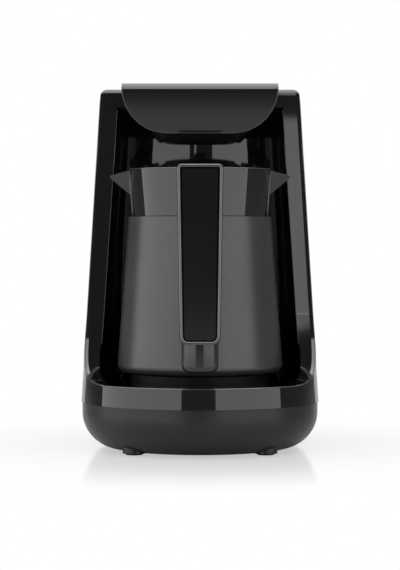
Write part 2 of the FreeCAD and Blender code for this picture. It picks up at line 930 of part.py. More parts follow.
def make_key_board_screws():
    head_seat = key_board_bottom - d.board_screw_head_height
    return screws("key_board_screws", key_board_corners, d.board_screw_shank,
                  d.board_thickness + d.board_screw_grip, d.board_screw_head,
                  d.board_screw_head_height, head_seat)


def make_key(name, x):
    """Key cap with a flange that keeps it under the roof and a stem over its switch."""
    body = new_body(f"key_{name}", x, d.key_y)
    cap = new_sketch(body, "cap", offset=key_flange_top)
    width = d.key_length - d.key_clearance * 2
    depth = d.key_depth - d.key_clearance * 2
    corner = d.key_corner - d.key_clearance
    rounded_rectangle(cap, 0, 0, width, depth, corner)
    top = d.top_height + d.key_proud
    pad(body, "cap_pad", cap, top - key_flange_top)
    edge_cut(body, "cap_edge", "Chamfer", d.key_edge, at_height(top))
    flange = new_sketch(body, "flange", offset=key_flange_top)
    reach = (d.key_flange + d.key_clearance) * 2
    rounded_rectangle(flange, 0, 0, width + reach, depth + reach, corner)
    pad(body, "flange_pad", flange, d.key_flange_thickness, reverse=True)
    stem_bottom = key_board_top + d.switch_height + d.key_travel + d.key_clearance
    posts(body, "stem", [(0, 0)], d.key_stem_radius, stem_bottom, key_flange_top - d.key_flange_thickness / 2)
    return body


def make_light_guides():
    """Clear pins from the lamps up to the roof of the head."""
    guides = []
    bottom = key_board_top + d.lamp_height
    for index, (x, y) in enumerate(lamp_places):
        guide = new_body(f"light_guide_{index + 1}", x, y, bottom, kept=False)
        profile = new_sketch(guide, "profile")
        circle(profile, 0, 0, d.lamp_radius)
        pad(guide, "pin", profile, d.top_height - bottom)
        guides.append(guide)
    return group("light_guides", guides)


# Hotplate, heater and sprung sensor, all centred under the jug

sensor_hole = d.sensor_radius + d.sensor_clearance
flange_radius = d.sensor_radius + d.sensor_flange
sensor_well = flange_radius + d.sensor_clearance
housing_radius = sensor_well - d.fit
flange_top = d.sensor_shoulder - d.sensor_clearance


def make_hotplate():
    """Cast plate with a plug through the deck and a stepped hole for the sensor."""
    body = new_body("hotplate", 0, d.jug_y)
    profile = new_sketch(body, "profile", "XZ_Plane")
    under = d.hotplate_top - d.hotplate_thickness
    outline(profile, [
        (sensor_hole, d.hotplate_top),
        (sensor_hole, d.sensor_shoulder),
        (sensor_well, d.sensor_shoulder),
        (sensor_well, d.plug_bottom),
        (d.plug_radius, d.plug_bottom),
        (d.plug_radius, under),
        (d.hotplate_radius, under),
        (d.hotplate_radius, d.hotplate_top - d.plate_edge),
        (d.hotplate_radius - d.plate_edge, d.hotplate_top),
    ])
    revolve(body, "plate", profile)
    return body


def make_hotplate_seal():
    """Rubber ring between the deck and the hotplate."""
    body = new_body("hotplate_seal", 0, d.jug_y, d.deck_height)
    profile = new_sketch(body, "profile")
    circle(profile, 0, 0, d.seal_outer)
    circle(profile, 0, 0, d.plug_radius + d.fit)
    pad(body, "ring", profile, d.hotplate_top - d.hotplate_thickness - d.deck_height)
    return body


def make_heating_element():
    """Tubular ring under the plug, open at the back, with two terminals that point down."""
    body = new_body("heating_element", 0, d.jug_y, d.plug_bottom - d.element_tube)
    body.Placement.Rotation = Rotation(Vector(0, 0, 1), 90 + (360 - d.element_sweep.value) / 2)
    section = new_sketch(body, "section", "XZ_Plane")
    half = d.element_tube
    flat = d.element_tube * 0.5
    outline(section, [
        (d.element_radius - flat, -half),
        (d.element_radius + flat, -half),
        (d.element_radius + half, -flat),
        (d.element_radius + half, flat),
        (d.element_radius + flat, half),
        (d.element_radius - flat, half),
        (d.element_radius - half, flat),
        (d.element_radius - half, -flat),
    ])
    revolve(body, "ring", section, sweep=d.element_sweep)
    terminals = new_sketch(body, "terminals", offset=-d.terminal_length)
    circle(terminals, d.element_radius, 0, d.terminal_radius)
    turn = math.radians(d.element_sweep.value)
    far_x = Size(math.cos(turn), f"cos({d.element_sweep.text})") * d.element_radius
    far_y = Size(math.sin(turn), f"sin({d.element_sweep.text})") * d.element_radius
    circle(terminals, far_x, far_y, d.terminal_radius)
    pad(body, "terminals_pad", terminals, d.terminal_length)
    return body


element_bottom = d.plug_bottom - d.element_tube * 2


def make_hotplate_bracket():
    """Steel strap under the heater, bent up to feet that are screwed to the deck."""
    body = new_body("hotplate_bracket", 0, d.jug_y)
    low = element_bottom - d.bracket_thickness
    high = liner_floor - d.bracket_thickness
    bend = d.deck_hole + d.bracket_clearance
    foot = bend + d.bracket_foot
    side = new_sketch(body, "side", "XZ_Plane")
    outline(side, [
        (bend + d.bracket_thickness, low),
        (bend + d.bracket_thickness, high),
        (foot, high),
        (foot, liner_floor),
        (bend, liner_floor),
        (bend, element_bottom),
        (-bend, element_bottom),
        (-bend, liner_floor),
        (-foot, liner_floor),
        (-foot, high),
        (-bend - d.bracket_thickness, high),
        (-bend - d.bracket_thickness, low),
    ])
    pad(body, "strap", side, d.bracket_width, middle=True)
    bores(body, "sensor_hole", [(0, 0)], housing_radius + d.bracket_gap, low, element_bottom)
    bores(body, "screw_holes", bracket_screw_places, d.board_screw_shank + d.fit, high, liner_floor)
    return body


bracket_screw_x = d.deck_hole + d.bracket_clearance + d.bracket_foot * 0.6
bracket_screw_places = [(bracket_screw_x, 0), (-bracket_screw_x, 0)]


def make_bracket_screws():
    places = [(x, d.jug_y) for x, _ in bracket_screw_places]
    head_seat = liner_floor - d.bracket_thickness - d.board_screw_head_height
    return screws("bracket_screws", places, d.board_screw_shank, d.bracket_thickness, d.board_screw_head,
                  d.board_screw_head_height, head_seat)


def make_thermal_fuse():
    """Fuse clipped against the underside of the plug, inside the heater's ring."""
    body = new_body("thermal_fuse", -d.fuse_length / 2, d.jug_y + d.fuse_offset, d.plug_bottom - d.fuse_radius)
    section = new_sketch(body, "section", "YZ_Plane")
    circle(section, 0, 0, d.fuse_radius)
    pad(body, "tube", section, d.fuse_length)
    return body


def make_sensor_housing():
    """Cup pressed into the plate's stepped hole; it guides the sensor's stem."""
    body = new_body("sensor_housing", 0, d.jug_y)
    profile = new_sketch(body, "profile", "XZ_Plane")
    stem_hole = d.sensor_stem_radius + d.sensor_clearance
    inner = housing_radius - d.housing_wall
    mouth = flange_top - d.sensor_flange_thickness - d.sensor_travel - d.sensor_clearance
    outline(profile, [
        (stem_hole, d.housing_bottom),
        (housing_radius, d.housing_bottom),
        (housing_radius, mouth),
        (inner, mouth),
        (inner, d.housing_bottom + d.housing_wall),
        (stem_hole, d.housing_bottom + d.housing_wall),
    ])
    revolve(body, "cup", profile)
    return body


def make_temperature_sensor():
    """Button that stands proud of the plate, with a retaining flange and a guide stem."""
    body = new_body("temperature_sensor", 0, d.jug_y)
    profile = new_sketch(body, "profile", "XZ_Plane")
    top = d.hotplate_top + d.sensor_proud
    under = flange_top - d.sensor_flange_thickness
    outline(profile, [
        (0, d.housing_bottom - d.sensor_clearance),
        (d.sensor_stem_radius, d.housing_bottom - d.sensor_clearance),
        (d.sensor_stem_radius, under),
        (flange_radius, under),
        (flange_radius, flange_top),
        (d.sensor_radius, flange_top),
        (d.sensor_radius, top - d.plate_edge / 2),
        (d.sensor_radius - d.plate_edge / 2, top),
        (0, top),
    ])
    revolve(body, "button", profile)
    return body


def make_sensor_spring():
    stand = d.housing_bottom + d.housing_wall
    height = flange_top - d.sensor_flange_thickness - d.sensor_clearance - stand
    return spring("sensor_spring", 0, d.jug_y, stand, d.sensor_spring_radius, d.sensor_spring_wire, height, 4)


# Jug

jug_rim = d.neck_height + d.rim_rise
spout_tip_height = jug_rim - d.spout_tip_drop
spout_root = jug_rim - d.spout_depth
jug_flare = (d.jug_radius - d.jug_neck_radius) / (d.neck_height - d.hotplate_top - d.jug_foot_round)


def jug_radius_at(height, inset=0):
    """Outer radius of the jug's body at a height above the table, less a wall."""
    return d.jug_radius - inset - (height - d.hotplate_top - d.jug_foot_round) * jug_flare


def collar_radius_at(height, inset=0):
    rise = (d.collar_top_radius - d.collar_bottom_radius) / (jug_rim - d.neck_height)
    return d.collar_bottom_radius - inset + (height - d.neck_height) * rise


def make_jug_vessel():
    """Steel vessel: recessed bottom, rounded foot, leaning wall, shoulder and throat."""
    body = new_body("jug_vessel", 0, d.jug_y)
    profile = new_sketch(body, "profile", "XZ_Plane")
    bottom = d.hotplate_top
    recess = bottom + d.jug_recess
    foot = d.jug_foot_round
    belly = bottom + foot
    throat_top = d.neck_height + d.throat_height
    shoulder = d.neck_height - d.jug_wall
    outer_throat = d.collar_wall + d.fit
    inner_throat = outer_throat + d.jug_wall
    outline(profile, [
        (0, recess),
        (d.jug_recess_radius, recess),
        (d.jug_recess_radius + d.jug_recess, bottom),
        (d.jug_radius - foot, bottom),
        (d.jug_radius, belly, foot, 1),
        (d.jug_neck_radius, d.neck_height),
        (collar_radius_at(d.neck_height, outer_throat), d.neck_height),
        (collar_radius_at(throat_top, outer_throat), throat_top),
        (collar_radius_at(throat_top, inner_throat), throat_top),
        (collar_radius_at(shoulder, inner_throat), shoulder),
        (jug_radius_at(shoulder, d.jug_wall), shoulder),
        (d.jug_radius - d.jug_wall, belly),
        (d.jug_radius - foot, bottom + d.jug_wall),
        (d.jug_recess_radius + d.jug_recess, bottom + d.jug_wall),
        (d.jug_recess_radius, recess + d.jug_wall),
        (0, recess + d.jug_wall),
    ])
    revolve(body, "wall", profile)
    return body


def spout_section(sketch, half_width, low, high):
    """V-shaped cross-section of a spout, open side up."""
    outline(sketch, [(0, low), (half_width, high), (-half_width, high)])


def make_jug_collar():
    """Flared collar on the jug's neck, drawn out into a pouring lip on each side."""
    body = new_body("jug_collar", 0, d.jug_y)
    blank = new_sketch(body, "blank", "XZ_Plane")
    outline(blank, [
        (0, d.neck_height),
        (d.collar_bottom_radius, d.neck_height),
        (d.collar_top_radius, jug_rim),
        (0, jug_rim),
    ])
    revolve(body, "flare", blank)
    inner = d.collar_bottom_radius - d.collar_wall * 2
    for side in (-1, 1):
        near = new_sketch(body, f"lip_near{side + 1}", "YZ_Plane", offset=inner * side)
        spout_section(near, d.spout_half_width + d.collar_wall, spout_root - d.spout_drop, jug_rim)
        far = new_sketch(body, f"lip_far{side + 1}", "YZ_Plane", offset=d.spout_tip * side)
        spout_section(far, d.spout_nose, spout_tip_height - d.spout_nose, spout_tip_height)
        loft(body, f"lip{side + 1}", near, far)
    for side in (-1, 1):
        near = new_sketch(body, f"channel_near{side + 1}", "YZ_Plane", offset=(inner - d.collar_wall) * side)
        spout_section(near, d.spout_half_width, spout_root - d.spout_drop + d.channel_floor,
                      jug_rim + d.channel_lift)
        far = new_sketch(body, f"channel_far{side + 1}", "YZ_Plane", offset=(d.spout_tip - d.channel_stop) * side)
        spout_section(far, d.channel_nose, spout_tip_height - d.channel_sink,
                      spout_tip_height + d.channel_lift)
        loft(body, f"channel{side + 1}", near, far, "SubtractiveLoft")
    well = new_sketch(body, "well", "XZ_Plane")
    outline(well, [
        (0, d.neck_height - d.collar_wall),
        (collar_radius_at(d.neck_height - d.collar_wall, d.collar_wall), d.neck_height - d.collar_wall),
        (collar_radius_at(jug_rim + d.collar_wall, d.collar_wall), jug_rim + d.collar_wall),
        (0, jug_rim + d.collar_wall),
    ])
    revolve(body, "well_cut", well, "Groove")
    return body


def loft(body, name, near, far, kind="AdditiveLoft"):
    item = feature(body, kind, name, near)
    item.Sections = [(far, [""])]
    doc.recompute()
    return item


# Handle

handle_lean = d.handle_lean / (d.handle_top - d.handle_bottom)


def handle_front_at(height):
    return d.handle_front + (d.handle_top - height) * handle_lean


def trim_shape(sketch, rim, foot_rim, top_round, foot_round):
    """Front view of the handle, narrowing downwards, drawn in by its rims."""
    narrowing = (d.handle_top_width - d.handle_bottom_width) / 2
    top = d.handle_top - rim
    low = d.handle_bottom + foot_rim
    upper = d.handle_top_width / 2 - rim
    lower = d.handle_top_width / 2 - narrowing - rim
    outline(sketch, [
        (lower - foot_round, low),
        (lower, low + foot_round, foot_round, 1),
        (upper, top - top_round),
        (upper - top_round, top, top_round, 1),
        (-upper + top_round, top),
        (-upper, top - top_round, top_round, 1),
        (-lower, low + foot_round),
        (-lower + foot_round, low, foot_round, 1),
    ])


def make_handle_trim():
    """Glossy front frame of the handle, with a seat for the inlay."""
    body = new_body("handle_trim")
    rear = d.handle_front + d.handle_lean + d.trim_depth
    front = new_sketch(body, "front", "XZ_Plane", offset=-rear)
    trim_shape(front, as_size(0), as_size(0), d.trim_top_round, d.trim_foot_round)
    pad(body, "block", front, rear - d.handle_front)
    face = new_sketch(body, "face", "YZ_Plane")
    far = d.handle_front - d.trim_depth
    outline(face, [
        (far, d.handle_bottom - d.trim_depth),
        (handle_front_at(d.handle_bottom - d.trim_depth), d.handle_bottom - d.trim_depth),
        (handle_front_at(d.handle_top + d.trim_depth), d.handle_top + d.trim_depth),
        (far, d.handle_top + d.trim_depth),
    ])
    pocket(body, "face_cut", face, d.handle_top_width * 2, middle=True)
    seat = new_sketch(body, "seat", "XZ_Plane", offset=-(d.handle_front + d.handle_lean + d.insert_depth))
    trim_shape(seat, d.trim_rim, d.trim_foot_rim, d.trim_top_round * 0.5, d.trim_foot_round - d.trim_foot_rim)
    pocket(body, "seat_cut", seat, d.trim_depth * 2, reverse=True)
    return body


def make_handle_insert():
    """Matte inlay that lies a little below the frame's face."""
    body = new_body("handle_insert")
    rear = d.handle_front + d.handle_lean + d.insert_depth
    front = new_sketch(body, "front", "XZ_Plane", offset=-rear)
    gap = d.insert_clearance
    trim_shape(front, d.trim_rim + gap, d.trim_foot_rim + gap, d.trim_top_round * 0.5,
               d.trim_foot_round - d.trim_foot_rim - gap)
    pad(body, "block", front, rear - d.handle_front)
    face = new_sketch(body, "face", "YZ_Plane")
    far = d.handle_front - d.trim_depth
    low = d.handle_bottom
    high = d.handle_top
    outline(face, [
        (far, low),
        (handle_front_at(low) + d.insert_sink, low),
        (handle_front_at(high) + d.insert_sink, high),
        (far, high),
    ])
    pocket(body, "face_cut", face, d.handle_top_width * 2, middle=True)
    return body


# The jug's lug and the handle are drawn from the jug's axis

lug_face = jug_radius_at(d.lug_bottom) + d.lug_thickness
tongue_end = jug_radius_at(d.lug_bottom) + d.lug_reach
tongue_low = d.lug_bottom + (d.lug_height - d.tongue_thickness) / 2
tongue_high = tongue_low + d.tongue_thickness
lug_screw_y = -(tongue_end - d.lug_reach / 2 + d.board_screw_shank)


def jug_clearance(body, gap):
    """Cuts a body back to the jug's leaning wall, less a gap."""
    sketch = new_sketch(body, "jug_clearance", "YZ_Plane")
    low = d.foot_bottom - d.jug_foot_round
    high = d.handle_bottom + d.jug_foot_round * 3
    outline(sketch, [
        (0, low),
        (jug_radius_at(low) + gap, low),
        (jug_radius_at(high) + gap, high),
        (0, high),
    ])
    return revolve(body, "jug_clearance_cut", sketch, "Groove")


def make_handle_lug():
    """Steel lug welded to the jug, with a tongue that enters the handle's foot."""
    body = new_body("handle_lug", 0, d.jug_y)
    side = new_sketch(body, "side", "YZ_Plane")
    inner = -(d.jug_neck_radius)
    face = -lug_face
    top = d.lug_bottom + d.lug_height
    outline(side, [
        (inner, d.lug_bottom),
        (inner, top),
        (face, top),
        (face, tongue_high),
        (-tongue_end, tongue_high),
        (-tongue_end, tongue_low),
        (face, tongue_low),
        (face, d.lug_bottom),
    ])
    pad(body, "lug", side, d.lug_width, middle=True)
    jug_clearance(body, as_size(0))
    bores(body, "screw_hole", [(0, lug_screw_y)], d.board_screw_shank + d.fit, tongue_low, tongue_high)
    return body


def make_handle_core():
    """Back of the grip with the arm to the collar and the foot that takes the lug's tongue."""
    body = new_body("handle_core", 0, d.jug_y)
    front = d.handle_front + d.handle_lean + d.trim_depth - d.jug_y
    grip_rear = d.handle_front + d.handle_depth - d.jug_y
    arm_low = d.handle_top - d.arm_height
    foot_high = d.handle_bottom + d.foot_shoulder
    inner = -d.jug_neck_radius + d.lug_thickness * 3
    bend = d.finger_round
    blend = d.foot_front_round
    side = new_sketch(body, "side", "YZ_Plane")
    outline(side, [
        (front + blend, d.foot_bottom, blend, 1),
        (inner, d.foot_bottom),
        (inner, foot_high),
        (grip_rear + bend, foot_high),
        (grip_rear, foot_high + bend, bend, -1),
        (grip_rear, arm_low - bend),
        (grip_rear + bend, arm_low, bend, -1),
        (inner, arm_low),
        (inner, jug_rim),
        (front, jug_rim),
        (front, d.foot_bottom + blend),
    ])
    pad(body, "block", side, d.foot_width, middle=True)
    edge_cut(body, "foot_round", "Fillet", d.foot_corner, lower_foot_edge)
    jug_clearance(body, d.lug_gap)
    recess = new_sketch(body, "lug_recess", "XZ_Plane", offset=lug_face + d.fit)
    side_reach = d.lug_width / 2 + d.fit
    rectangle(recess, -side_reach, side_reach, d.lug_bottom - d.fit, d.lug_bottom + d.lug_height + d.fit)
    pocket(body, "lug_recess_cut", recess, d.lug_reach)
    seat = new_sketch(body, "collar_seat", "YZ_Plane")
    low = arm_low - d.fit * 2
    high = jug_rim + d.fit * 2
    outline(seat, [
        (0, low),
        (collar_radius_at(low) + d.fit, low),
        (collar_radius_at(high) + d.fit, high),
        (0, high),
    ])
    revolve(body, "collar_seat_cut", seat, "Groove")
    slot = new_sketch(body, "tongue_slot", "XZ_Plane", offset=tongue_end + d.fit)
    rectangle(slot, -side_reach, side_reach, tongue_low - d.fit, tongue_high + d.fit)
    pocket(body, "tongue_slot_cut", slot, d.lug_reach * 2)
    holes = [(0, lug_screw_y)]
    bores(body, "screw_head_hole", holes, d.board_screw_head + d.fit, d.foot_bottom, lug_screw_seat)
    bores(body, "screw_hole", holes, d.board_screw_shank, lug_screw_seat, lug_screw_tip + d.fit)
    return body


def lower_foot_edge(edge):
    """The two long lower edges of the foot, and the round in front of them."""
    box = edge.BoundBox
    low = d.foot_bottom.value
    return abs(box.ZMin - low) < 0.01 and box.XLength < 0.01 and box.YLength > 1


lug_screw_seat = d.foot_bottom + d.lug_screw_depth
lug_screw_tip = tongue_high + d.lug_screw_bite


def make_handle_screw():
    """Screw up through the foot and the lug's tongue."""
    head_seat = lug_screw_seat - d.board_screw_head_height
    return screws("handle_screw", [(0, d.jug_y + lug_screw_y)], d.board_screw_shank,
                  lug_screw_tip - lug_screw_seat, d.board_screw_head, d.board_screw_head_height, head_seat)


# Boards and parts in the base

board_rear = d.board_front + d.board_length
board_top = d.board_underside + d.board_thickness
board_corners = [(d.board_half_width - d.boss_radius, d.board_front + d.boss_radius),
                 (d.boss_radius - d.board_half_width, board_rear - d.boss_radius)]


def make_control_board():
    body = new_body("control_board", 0, 0, d.board_underside)
    plan = new_sketch(body, "plan")
    rectangle(plan, -d.board_half_width, d.board_half_width, d.board_front, board_rear)
    pad(body, "board", plan, d.board_thickness)
    bores(body, "screw_holes", board_corners, d.board_screw_shank + d.fit, 0, d.board_thickness)
    return body


def make_board_screws():
    """Screws down through the board into the pan's posts."""
    return screws("board_screws", board_corners, d.board_screw_shank, d.board_thickness + d.board_screw_grip,
                  d.board_screw_head, d.board_screw_head_height, board_top + d.board_screw_head_height,
                  upward=False)


def block_on_board(label, x, y, width, depth, height):
    body = new_body(label, x, y, board_top)
    plan = new_sketch(body, "plan")
    rectangle(plan, -width / 2, width / 2, -depth / 2, depth / 2)
    pad(body, "block", plan, height)
    return body


def can_on_board(label, x, y, radius, height):
    body = new_body(label, x, y, board_top)
    plan = new_sketch(body, "plan")
    circle(plan, 0, 0, radius)
    pad(body, "can", plan, height)
    return body


def make_board_parts():
    block_on_board("transformer", -d.transformer_x, d.transformer_y, d.transformer_size, d.transformer_size,
                   d.transformer_height)
    block_on_board("relay", d.relay_x, d.relay_y, d.relay_length, d.relay_width, d.relay_height)
    can_on_board("filter_capacitor", 0, d.capacitor_y, d.capacitor_radius, d.capacitor_height)
    buzzer = can_on_board("buzzer", 0, d.buzzer_y, d.buzzer_radius, d.buzzer_height)
    bores(buzzer, "sound_hole", [(0, 0)], d.buzzer_hole, d.buzzer_height / 2, d.buzzer_height)
    terminals = block_on_board("terminal_block", 0, d.terminal_y, d.terminal_block_length,
                               d.terminal_block_depth, d.terminal_block_height)
    pitch = d.terminal_block_length / 3
    bores(terminals, "clamp_holes", [(pitch * step, 0) for step in (-1, 0, 1)], d.terminal_clamp,
          d.terminal_block_height / 2, d.terminal_block_height)


def make_cord_gland():
    """Rubber gland in the rear wall, square to the leaning wall, with an open bore."""
    lean = slope(d.casing_draft)
    wall_y = d.back - (d.gland_height - d.parting_height) * lean
    body = new_body("cord_gland", 0, wall_y, d.gland_height)
    body.Placement.Rotation = Rotation(Vector(1, 0, 0), d.casing_draft.value - 90)
    profile = new_sketch(body, "profile", "XZ_Plane")
    flange = d.gland_flange_thickness
    inside = -(d.wall + d.gland_clearance)
    outline(profile, [
        (d.gland_bore, inside - flange),
        (d.gland_flange - 1, inside - flange),
        (d.gland_flange - 1, inside),
        (d.gland_neck, inside),
        (d.gland_neck, 0),
        (d.gland_flange, 0),
        (d.gland_flange - flange * 0.6, flange),
        (d.gland_bore, flange),
    ])
    revolve(body, "gland", profile)
    return body


make_base_pan()
make_rubber_feet()
make_case_screws()
make_outer_shell()
make_nook_liner()
make_head_shell()
make_visor()
make_head_bowl()
make_sensor_window()
make_sensor_board()
make_key_board()
make_key_board_screws()
for key_name, key_centre in key_places:
    make_key(key_name, key_centre)
make_light_guides()
make_hotplate()
make_hotplate_seal()
make_heating_element()
make_hotplate_bracket()
make_bracket_screws()
make_thermal_fuse()
make_sensor_housing()
make_temperature_sensor()
make_sensor_spring()
make_jug_vessel()
make_jug_collar()
make_handle_lug()
make_handle_core()
make_handle_screw()
make_handle_trim()
make_handle_insert()
make_control_board()
make_board_screws()
make_board_parts()
make_cord_gland()

for item in doc.Objects:
    if any(word in item.State for word in ("Invalid", "Error")):
        raise RuntimeError(f"{item.Name} is {item.State}")
os.makedirs("parts", exist_ok=True)
for part in parts:
    shape = part.Shape
    print(part.Label, shape.isValid(), len(shape.Solids), round(shape.Volume), shape.BoundBox)
    shape.exportStep(f"parts/{part.Label}.step")
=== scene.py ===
import math

import bmesh
import bpy
from mathutils import Matrix, Vector


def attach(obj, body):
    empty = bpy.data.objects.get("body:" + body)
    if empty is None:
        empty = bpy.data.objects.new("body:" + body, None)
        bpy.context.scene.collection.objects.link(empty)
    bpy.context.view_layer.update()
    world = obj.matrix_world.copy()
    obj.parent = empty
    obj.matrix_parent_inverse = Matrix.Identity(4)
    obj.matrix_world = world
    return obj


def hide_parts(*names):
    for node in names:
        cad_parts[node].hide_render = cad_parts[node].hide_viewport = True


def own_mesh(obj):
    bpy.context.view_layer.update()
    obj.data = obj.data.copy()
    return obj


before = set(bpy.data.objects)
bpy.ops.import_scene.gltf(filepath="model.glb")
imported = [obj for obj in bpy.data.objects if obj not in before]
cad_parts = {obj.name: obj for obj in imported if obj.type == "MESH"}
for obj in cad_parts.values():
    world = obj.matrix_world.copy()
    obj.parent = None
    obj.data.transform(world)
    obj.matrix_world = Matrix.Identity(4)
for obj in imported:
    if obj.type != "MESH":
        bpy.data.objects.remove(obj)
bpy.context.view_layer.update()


# Base pan
# Lower half of the machine: one injection-moulded pan in black ABS with a spark-eroded
# grain, rounded underneath, screwed up into the casing from inside its feet.

def linear(code):
    """An sRGB hex colour as linear red, green, blue and alpha."""
    parts = [int(code[place:place + 2], 16) / 255 for place in (1, 3, 5)]
    curve = [part / 12.92 if part <= 0.04045 else ((part + 0.055) / 1.055) ** 2.4 for part in parts]
    return (*curve, 1.0)


def add(tree, kind, settings=None, links=None):
    """A node of one kind, with its sockets or properties set and its inputs linked."""
    node = tree.nodes.new(kind)
    for name, value in (settings or {}).items():
        if name in node.inputs:
            node.inputs[name].default_value = value
        else:
            setattr(node, name, value)
    for name, source in (links or {}).items():
        tree.links.new(source, node.inputs[name])
    return node


def new_finish(name, roughness, ior=1.5, metallic=0.0):
    """An empty material with its shader and Object coordinates, ready for its patterns."""
    material = bpy.data.materials.new(name)
    material.use_nodes = True
    tree = material.node_tree
    shader = tree.nodes["Principled BSDF"]
    shader.inputs["Roughness"].default_value = roughness
    shader.inputs["IOR"].default_value = ior
    shader.inputs["Metallic"].default_value = metallic
    place = add(tree, "ShaderNodeTexCoord").outputs["Object"]
    return material, tree, shader, place


def shade(tree, shader, colour=None, roughness=None, relief=None):
    """Drives the shader by patterns that run from 0 to 1.

    colour is a pattern with a dark and a pale sRGB colour, roughness a pattern with its lowest
    and highest value, and relief a pattern with its depth in metres and its strength.
    """
    if colour:
        pattern, dark, pale = colour
        ramp = add(tree, "ShaderNodeValToRGB", links={"Fac": pattern})
        first, last = ramp.color_ramp.elements
        first.position = 0.3
        first.color = linear(dark)
        last.position = 0.7
        last.color = linear(pale)
        tree.links.new(ramp.outputs["Color"], shader.inputs["Base Color"])
    if roughness:
        pattern, low, high = roughness
        spread = add(tree, "ShaderNodeMapRange", {"To Min": low, "To Max": high}, {"Value": pattern})
        tree.links.new(spread.outputs["Result"], shader.inputs["Roughness"])
    if relief:
        pattern, depth, strength = relief
        bump = add(tree, "ShaderNodeBump", {"Strength": strength, "Distance": depth}, {"Height": pattern})
        tree.links.new(bump.outputs["Normal"], shader.inputs["Normal"])


def moulded(name, dark, pale, roughness, grain, depth, spread=0.06, clouds=0.03, ior=1.5, specular=0.5):
    """Moulded or coated surface: close colours in large clouds, a fine grain, uneven roughness.

    clouds and grain are the sizes of their lumps, and depth is the grain's, all in metres.
    """
    material, tree, shader, place = new_finish(name, roughness, ior)
    shader.inputs["Specular IOR Level"].default_value = specular
    tone, wear, marks = [add(tree, "ShaderNodeTexNoise", {"Scale": 1 / size},
                             {"Vector": place}).outputs["Fac"] for size in (clouds, grain * 6, grain)]
    shade(tree, shader, (tone, dark, pale), (wear, roughness - spread, roughness + spread),
          (marks, depth, 1.0))
    return material


def coat(material, *names):
    """Gives CAD nodes their material."""
    for name in names:
        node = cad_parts[name]
        if not node.material_slots:
            node.data.materials.append(material)
        for slot in node.material_slots:
            slot.material = material


# Spark-eroded ABS scatters a lamp into a broad, weak sheen. The real grain of 0.15 mm is
# drawn at 0.5 mm so that it shows.
grained_abs = moulded("grained_abs", "#141415", "#18181a", roughness=0.34, grain=0.0005,
                      depth=0.00003, ior=1.38)
coat(grained_abs, "base_pan")


# Rubber feet
# Four nitrile rubber pads pushed on to the pan's screw towers; they carry the machine.
# Moulded rubber is dull and nearly black all round.

nitrile_rubber = moulded("nitrile_rubber", "#060606", "#0a0a0a", roughness=0.8, grain=0.0004,
                         depth=0.00005, ior=1.2)
coat(nitrile_rubber, "rubber_feet")


# Casing, nook, head and bowl
# Injection-moulded black ABS from polished tools, left uncoated and screwed together from
# below. The jug's collar, the handle's core and the two keys are moulded in the same way.
# Such plastic mirrors the room, with a faint waviness from its flow.

polished_abs = moulded("polished_abs", "#101012", "#131314", roughness=0.045, grain=0.006,
                       depth=0.000002, spread=0.015, clouds=0.05)
coat(polished_abs, "outer_shell", "nook_liner", "head_shell", "head_bowl", "jug_collar",
     "handle_core", "key_small", "key_large")


# Rounded edges of the casing's mouth and the nook
# The moulding tools leave a small round along the C-shaped mouth, on the lip, the sweep and
# both columns, and along the inner edge of each column. It catches the lamps as a thin bright
# line. The mouth's round is also drawn paler than the casing, as a painted highlight.

casing_foot_half_width = 0.079
casing_foot = 0.0317
casing_draft = math.tan(math.radians(3.57))
casing_front_centre = -0.003
mouth_lip = 0.045
mouth_sweep = 0.050
mouth_round = 0.0004
mouth_inset = 0.0002
lip_half_angle = 53
column_heights = [0.001 * height for height in range(100, 233, 6)]
nook_half_width = 0.0633
nook_level = 0.1
nook_draft = 0.0667
nook_round = 0.0003
nook_inset = 0.0001
nook_heights = [0.001 * height for height in range(70, 226, 5)]


def casing_half_width(height):
    """Half the casing's width on its straight flanks, which is also its front radius."""
    return casing_foot_half_width - (height - casing_foot) * casing_draft


def casing_edge(depth, height):
    """The right-hand point of the casing's outline at a depth and a height, drawn in a little."""
    radius = casing_half_width(height) - mouth_inset
    forward = min(depth - casing_front_centre, 0.0)
    return Vector((math.sqrt(max(radius * radius - forward * forward, 0.0)), depth, height))


def mouth_height(depth):
    """Height of the mouth's edge over a depth: level lip, then the sweep up to the column."""
    run = max(depth + mouth_sweep, 0.0)
    return mouth_lip + mouth_sweep - math.sqrt(mouth_sweep ** 2 - min(run, mouth_sweep) ** 2)


def sweep_forward(height):
    """How far the sweep stands before the column at a height: nothing above the sweep."""
    drop = min(max(mouth_lip + mouth_sweep - height, 0.0), mouth_sweep)
    return mouth_sweep - math.sqrt(mouth_sweep ** 2 - drop ** 2)


def bead(name, points, radius, material, body, closed=False):
    """A thin round moulding along points, made a mesh at the origin."""
    curve = bpy.data.curves.new(name, "CURVE")
    curve.dimensions = "3D"
    curve.bevel_depth = radius
    curve.bevel_resolution = 3
    line = curve.splines.new("POLY")
    line.points.add(len(points) - 1)
    for point, where in zip(line.points, points):
        point.co = (*where, 1.0)
    line.use_cyclic_u = closed
    piece = bpy.data.objects.new(name, curve)
    bpy.context.scene.collection.objects.link(piece)
    bpy.ops.object.select_all(action="DESELECT")
    piece.select_set(True)
    bpy.context.view_layer.objects.active = piece
    bpy.ops.object.convert(target="MESH")
    piece = bpy.context.object
    bpy.ops.object.shade_smooth()
    piece.data.materials.clear()
    piece.data.materials.append(material)
    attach(piece, body)


# Painted highlight: a polished round is drawn paler than the plastic beside it, with a high
# IOR, so that it flares brighter than that plastic would.
edge_painted_highlight = moulded("edge_painted_highlight", "#1c1c1e", "#212123", roughness=0.14, grain=0.004,
                     depth=0.000003, spread=0.03, ior=1.85)

